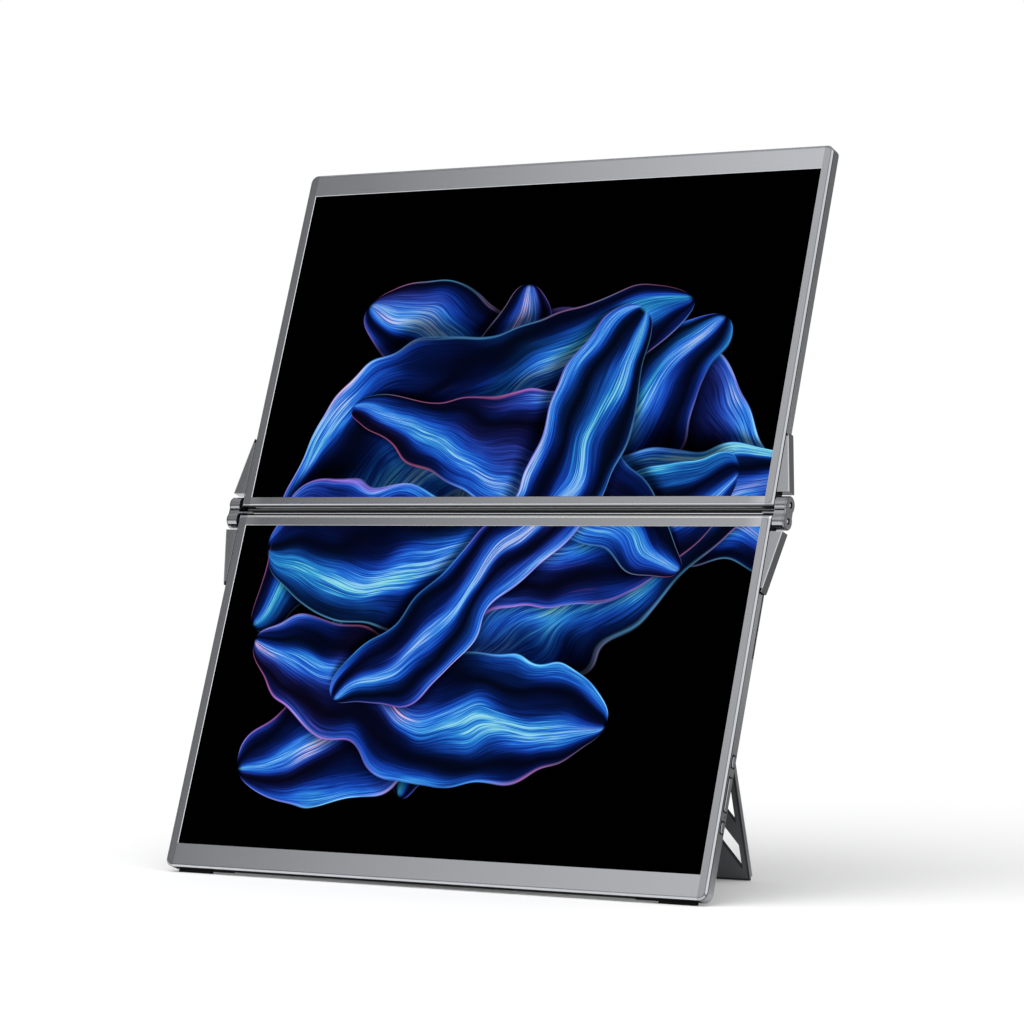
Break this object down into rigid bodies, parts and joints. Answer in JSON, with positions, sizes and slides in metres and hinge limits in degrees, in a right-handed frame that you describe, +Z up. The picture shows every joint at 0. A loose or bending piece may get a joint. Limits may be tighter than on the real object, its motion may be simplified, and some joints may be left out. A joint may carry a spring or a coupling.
{
  "type": "dual portable monitor",
  "caption": "Stacked pair of portable monitors on a two-axis friction hinge, with a fold-out kickstand, edge keys and sockets.",
  "frame": {"origin": "on the floor under the middle of the whole, in the pose of use", "axes": "+Z up, the screens face -Y, +X to the viewer's right"},
  "size_m": [0.3734, 0.1523, 0.4106],
  "materials": {
    "bezel_metal": "anodised satin",
    "black_plastic": "fine texture",
    "black_rubber": "matte",
    "board": "solder mask",
    "cable_sleeve": "matte",
    "cover_metal": "anodised satin",
    "hinge_metal": "anodised satin",
    "lamp_lens": "clear",
    "light_guide": "glossy",
    "pin_steel": "turned",
    "screen_glass": "glossy",
    "screw_steel": "blackened",
    "side_metal": "anodised satin",
    "socket_steel": "plain",
    "stand_metal": "anodised satin",
    "tray_steel": "plain"
  },
  "bodies": {
    "lower_monitor": {"input_sockets": "socket_steel", "kickstand_bracket_left": "pin_steel", "kickstand_bracket_right": "pin_steel", "kickstand_pins": "pin_steel", "lower_backlight_tray": "tray_steel", "lower_bezel": "bezel_metal", "lower_cover_screws": "screw_steel", "lower_display_glass": "screen_glass", "lower_edge_seal": "black_rubber", "lower_floor_strip": "black_rubber", "lower_hinge_arm_left": "bezel_metal", "lower_hinge_arm_right": "bezel_metal", "lower_hinge_leaf_left": "pin_steel", "lower_hinge_leaf_right": "pin_steel", "lower_light_guide": "light_guide", "lower_main_board": "board", "lower_pin_nuts": "pin_steel", "lower_rear_cover": "cover_metal", "lower_side_frame": "side_metal", "rubber_feet": "black_rubber", "speaker_boxes": "black_plastic", "speaker_grille_left": "black_plastic", "speaker_grille_right": "black_plastic", "status_lamp": "lamp_lens", "switch_board": "board"},
    "hinge_link": {"friction_discs_left": "pin_steel", "friction_discs_right": "pin_steel", "hinge_block_left": "hinge_metal", "hinge_block_right": "hinge_metal", "hinge_cap_left": "hinge_metal", "hinge_cap_right": "hinge_metal", "left_cap_plugs": "black_plastic", "link_cable": "cable_sleeve", "spine_bar": "hinge_metal"},
    "upper_monitor": {"upper_backlight_tray": "tray_steel", "upper_bezel": "bezel_metal", "upper_cover_screws": "screw_steel", "upper_display_glass": "screen_glass", "upper_driver_board": "board", "upper_edge_seal": "black_rubber", "upper_hinge_arm_left": "bezel_metal", "upper_hinge_arm_right": "bezel_metal", "upper_hinge_leaf_left": "pin_steel", "upper_hinge_leaf_right": "pin_steel", "upper_light_guide": "light_guide", "upper_pin_nuts": "pin_steel", "upper_rear_cover": "cover_metal", "upper_rear_pads": "black_rubber", "upper_side_frame": "side_metal"},
    "kickstand": {"kickstand_foot_strip": "black_rubber", "kickstand_plate": "stand_metal"},
    "power_key": {"power_key": "side_metal"},
    "rocker_key": {"rocker_key": "side_metal"},
    "back_key": {"back_key": "side_metal"}
  },
  "joints": [
    {"name": "lower_pivot", "type": "hinge", "parent": "lower_monitor", "child": "hinge_link", "pos_m": [0, -0.00134, 0.20149], "axis": [1, 0, 0], "range_deg": [0, 90]},
    {"name": "upper_pivot", "type": "hinge", "parent": "hinge_link", "child": "upper_monitor", "pos_m": [0, 0.00176, 0.21015], "axis": [1, 0, 0], "range_deg": [0, 90]},
    {"name": "kickstand_fold", "type": "hinge", "parent": "lower_monitor", "child": "kickstand", "pos_m": [0, 0.00008, 0.19418], "axis": [1, 0, 0], "range_deg": [-36.4, 0]},
    {"name": "power_key_press", "type": "slide", "parent": "lower_monitor", "child": "power_key", "axis": [-1, 0, 0], "range_m": [0, 0.0003], "stiffness_N_per_m": 4000},
    {"name": "rocker_key_tilt", "type": "hinge", "parent": "lower_monitor", "child": "rocker_key", "pos_m": [0.1756, -0.05239, 0.05715], "axis": [0, 0.9415, -0.3371], "range_deg": [-1.1, 1.1], "stiffness_Nm_per_rad": 0.7},
    {"name": "back_key_press", "type": "slide", "parent": "lower_monitor", "child": "back_key", "axis": [-1, 0, 0], "range_m": [0, 0.0003], "stiffness_N_per_m": 4000}
  ]
}
